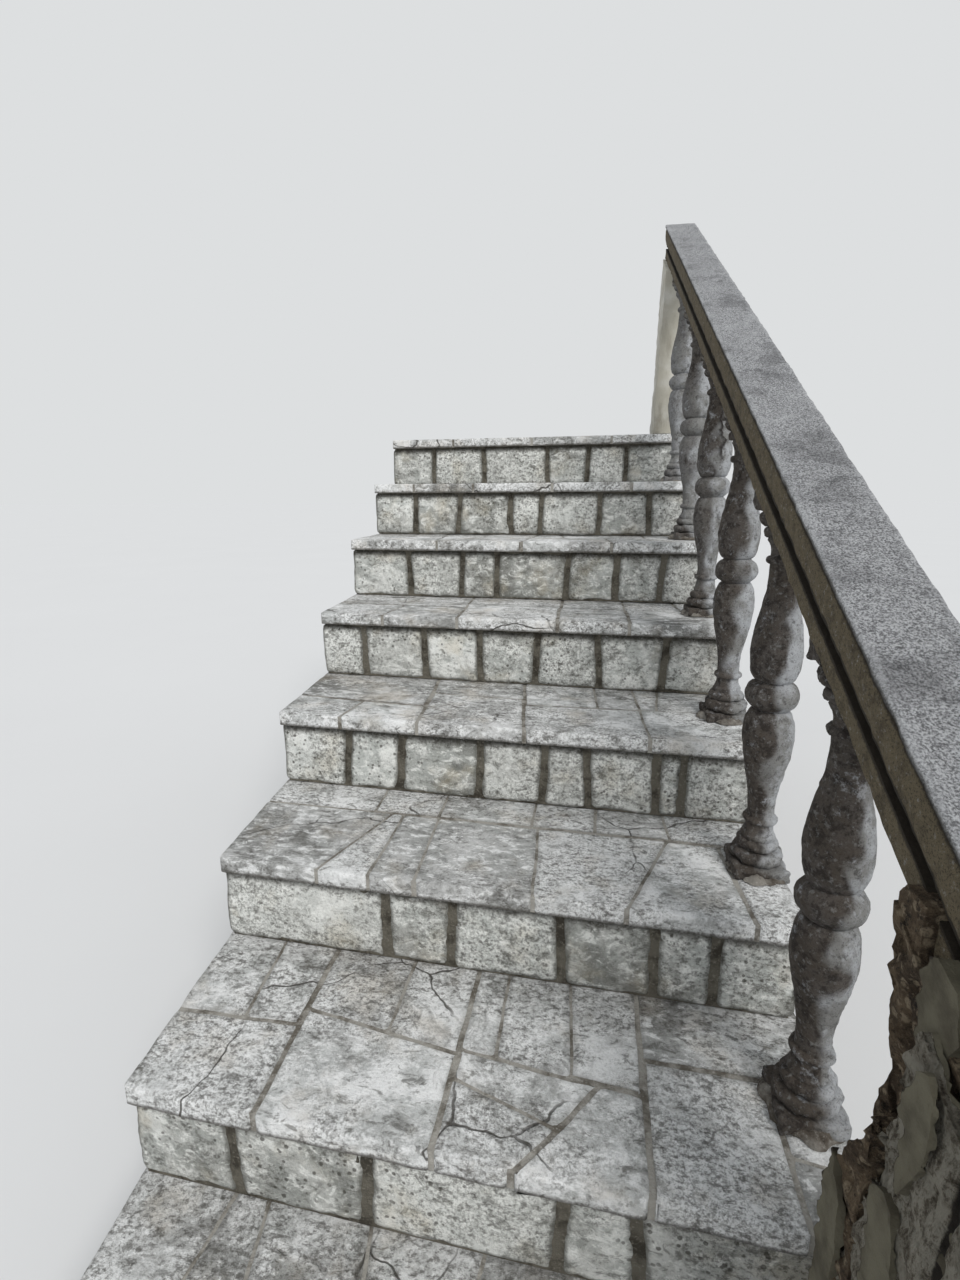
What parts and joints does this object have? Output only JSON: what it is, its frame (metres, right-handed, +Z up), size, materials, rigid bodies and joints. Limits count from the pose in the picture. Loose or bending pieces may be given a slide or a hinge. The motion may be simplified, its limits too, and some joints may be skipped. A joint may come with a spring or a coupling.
{
  "type": "stone stair balustrade with its flight",
  "caption": "Weathered stone balustrade of turned balusters under a sloping moulded rail, standing on its flagged masonry steps between a plain post and a broken pier.",
  "frame": {"origin": "at ground level under the centre of the lower pier, on the balustrade's centre line", "axes": "+Y runs up the flight along the balustrade, +X towards the open side past the tread ends, +Z up"},
  "size_m": [1.2744, 2.972, 2.2964],
  "materials": {
    "rubble": "coursed rubble in lime mortar, weathered",
    "flagstone": "riven limestone flags, lichen-spotted",
    "block_stone": "sawn limestone blocks, stained, in dark mortar",
    "cast_stone": "cast stone, dark lichen bloom",
    "rail_stone": "cast stone, worn to its grit on top",
    "post_render": "old lime render, stained",
    "pier_rubble": "broken mortar and rubble",
    "pier_render": "smooth cement render, cracked"
  },
  "bodies": {
    "root": {"flight_core": "rubble", "side_wall": "rubble", "tread_1": "flagstone", "tread_2": "flagstone", "tread_3": "flagstone", "tread_4": "flagstone", "tread_5": "flagstone", "tread_6": "flagstone", "tread_7": "flagstone", "landing": "flagstone", "riser_1": "block_stone", "riser_2": "block_stone", "riser_3": "block_stone", "riser_4": "block_stone", "riser_5": "block_stone", "riser_6": "block_stone", "riser_7": "block_stone", "riser_8": "block_stone", "baluster_1": "cast_stone", "baluster_2": "cast_stone", "baluster_3": "cast_stone", "baluster_4": "cast_stone", "baluster_5": "cast_stone", "baluster_6": "cast_stone", "handrail": "rail_stone", "upper_post": "post_render", "pier_core": "pier_rubble", "pier_render": "pier_render"}
  },
  "joints": []
}
